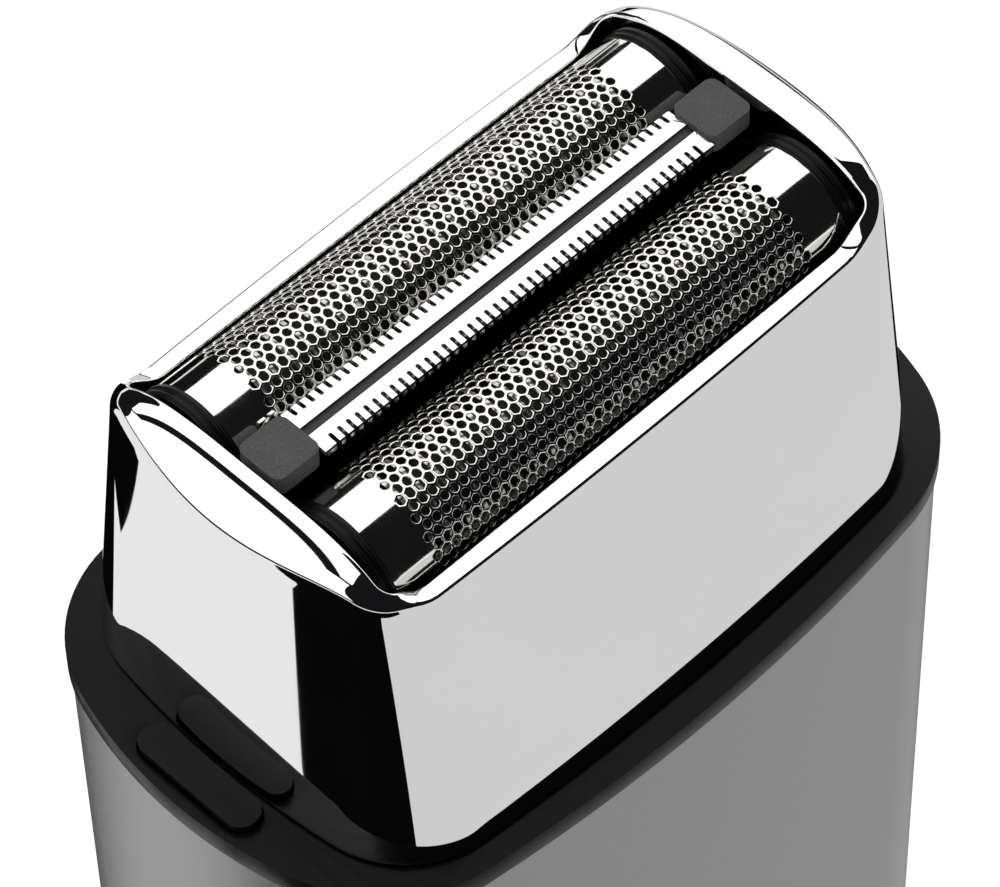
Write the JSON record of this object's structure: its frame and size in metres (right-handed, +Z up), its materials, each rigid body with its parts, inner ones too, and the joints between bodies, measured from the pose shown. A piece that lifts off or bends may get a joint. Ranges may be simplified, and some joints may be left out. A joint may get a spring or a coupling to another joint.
{
  "type": "electric shaver",
  "caption": "Cordless foil shaver with a polished flared head, perforated curved foils, a slotted central trimmer and a satin metal handle.",
  "frame": {"origin": "centre of the charging socket mouth, level with the flat underside of the base foot, where the shaver stands upright", "axes": "+Z up from the base to the shaving head; X along the long axis of the head and foils; the broad face with the power switch faces -Y"},
  "size_m": [0.062, 0.0416, 0.1503],
  "materials": {
    "body_metal": "fine bead-blasted satin silver grey",
    "chrome": "mirror polished plating",
    "black_satin": "satin black moulding",
    "black_gloss": "glossy black moulding",
    "cap_plastic": "sandy dark grey, faint grain",
    "foil_steel": "polished perforated spring steel",
    "blade_steel": "ground blade steel",
    "comb_steel": "polished steel with fine grinding lines",
    "spring_steel": "drawn wire",
    "hub_plastic": "dark moulding",
    "drive_plastic": "natural acetal",
    "rubber": "soft black",
    "chassis_plastic": "dark grey moulding",
    "cell_wrap": "shrink sleeve",
    "nickel": "nickel strip",
    "brass": "plain",
    "board": "solder mask over laminate",
    "chip": "moulded package",
    "lens": "clear light pipe",
    "can_steel": "zinc plated can",
    "screw_steel": "machined",
    "slider_plastic": "satin black with grip ribs"
  },
  "bodies": {
    "body": {"body_shell": "body_metal", "collar": "black_satin", "neck": "black_gloss", "base_cap": "black_satin", "base_foot": "rubber", "charging_socket": "nickel", "base_screws": "screw_steel", "chassis": "chassis_plastic", "battery_cell": "cell_wrap", "battery_terminal": "nickel", "battery_tab_top": "nickel", "battery_tab_bottom": "nickel", "circuit_board": "board", "charge_chip": "chip", "power_switch": "can_steel", "indicator_led": "chip", "indicator_lens": "lens", "switch_bezel": "black_satin", "motor_can": "can_steel", "motor_end_cap": "drive_plastic", "motor_terminals": "brass", "motor_mount": "chassis_plastic", "motor_screws": "screw_steel", "guide_rod_front": "spring_steel", "guide_rod_rear": "spring_steel", "drive_seal_front": "rubber", "drive_seal_rear": "rubber", "release_spring_left": "spring_steel", "release_spring_right": "spring_steel"},
    "slider": {"switch_slider": "slider_plastic"},
    "button_left": {"release_button_left": "black_gloss"},
    "button_right": {"release_button_right": "black_gloss"},
    "rotor": {"motor_shaft": "spring_steel", "rotor_core": "can_steel", "eccentric": "drive_plastic"},
    "bridge": {"drive_bridge": "drive_plastic", "drive_post_front": "spring_steel", "drive_post_rear": "spring_steel", "cutter_spring_front": "spring_steel", "cutter_spring_rear": "spring_steel"},
    "cutter_unit_front": {"cutter_hub_front": "hub_plastic", "cutter_blades_front": "blade_steel"},
    "cutter_unit_rear": {"cutter_hub_rear": "hub_plastic", "cutter_blades_rear": "blade_steel"},
    "head": {"head_shell": "chrome", "foil_cassette": "black_satin", "latch_catch_left": "black_satin", "latch_catch_right": "black_satin", "foil_springs_front": "spring_steel", "foil_springs_rear": "spring_steel", "trimmer_springs": "spring_steel"},
    "foil_unit_front": {"foil_front": "foil_steel", "foil_carrier_front": "black_satin"},
    "foil_unit_rear": {"foil_rear": "foil_steel", "foil_carrier_rear": "black_satin"},
    "trimmer": {"trimmer_bed": "black_satin", "trimmer_cap_left": "cap_plastic", "trimmer_cap_right": "cap_plastic", "trimmer_comb": "comb_steel"},
    "trimmer_cutter": {"trimmer_blade": "blade_steel"}
  },
  "joints": [
    {"name": "power_switch_slide", "type": "slide", "parent": "body", "child": "slider", "axis": [0, 0, 1], "range_m": [0, 0.004]},
    {"name": "release_left_press", "type": "slide", "parent": "body", "child": "button_left", "axis": [0, 0, -1], "range_m": [0, 0.001], "stiffness_N_per_m": 300, "springref_m": -0.001, "deforming": ["release_spring_left"]},
    {"name": "release_right_press", "type": "slide", "parent": "body", "child": "button_right", "axis": [0, 0, -1], "range_m": [0, 0.001], "stiffness_N_per_m": 300, "springref_m": -0.001, "deforming": ["release_spring_right"]},
    {"name": "motor_spin", "type": "hinge", "parent": "body", "child": "rotor", "pos_m": [0, 0, 0.1], "axis": [0, 0, 1], "continuous": true},
    {"name": "bridge_slide", "type": "slide", "parent": "body", "child": "bridge", "axis": [1, 0, 0], "range_m": [-0.0009, 0.0009]},
    {"name": "head_release", "type": "slide", "parent": "body", "child": "head", "axis": [0, 0, 1], "range_m": [0, 0.038]},
    {"name": "foil_front_float", "type": "slide", "parent": "head", "child": "foil_unit_front", "axis": [0, 0, 1], "range_m": [-0.0012, 0], "stiffness_N_per_m": 500, "springref_m": 0.001, "deforming": ["foil_springs_front"]},
    {"name": "foil_rear_float", "type": "slide", "parent": "head", "child": "foil_unit_rear", "axis": [0, 0, 1], "range_m": [-0.0012, 0], "stiffness_N_per_m": 500, "springref_m": 0.001, "deforming": ["foil_springs_rear"]},
    {"name": "cutter_front_press", "type": "slide", "parent": "bridge", "child": "cutter_unit_front", "axis": [0, 0, 1], "range_m": [-0.0012, 0], "stiffness_N_per_m": 300, "springref_m": 0.001, "deforming": ["cutter_spring_front"]},
    {"name": "cutter_rear_press", "type": "slide", "parent": "bridge", "child": "cutter_unit_rear", "axis": [0, 0, 1], "range_m": [-0.0012, 0], "stiffness_N_per_m": 300, "springref_m": 0.001, "deforming": ["cutter_spring_rear"]},
    {"name": "trimmer_float", "type": "slide", "parent": "head", "child": "trimmer", "axis": [0, 0, 1], "range_m": [-0.0012, 0], "stiffness_N_per_m": 500, "springref_m": 0.001, "deforming": ["trimmer_springs"]},
    {"name": "trimmer_blade_slide", "type": "slide", "parent": "trimmer", "child": "trimmer_cutter", "axis": [1, 0, 0], "range_m": [-0.0009, 0.0009]}
  ],
  "couplings": [
    {"joint": "cutter_front_press", "follows": "foil_front_float", "ratio": 1},
    {"joint": "cutter_rear_press", "follows": "foil_rear_float", "ratio": 1},
    {"joint": "trimmer_blade_slide", "follows": "bridge_slide", "ratio": 1}
  ]
}
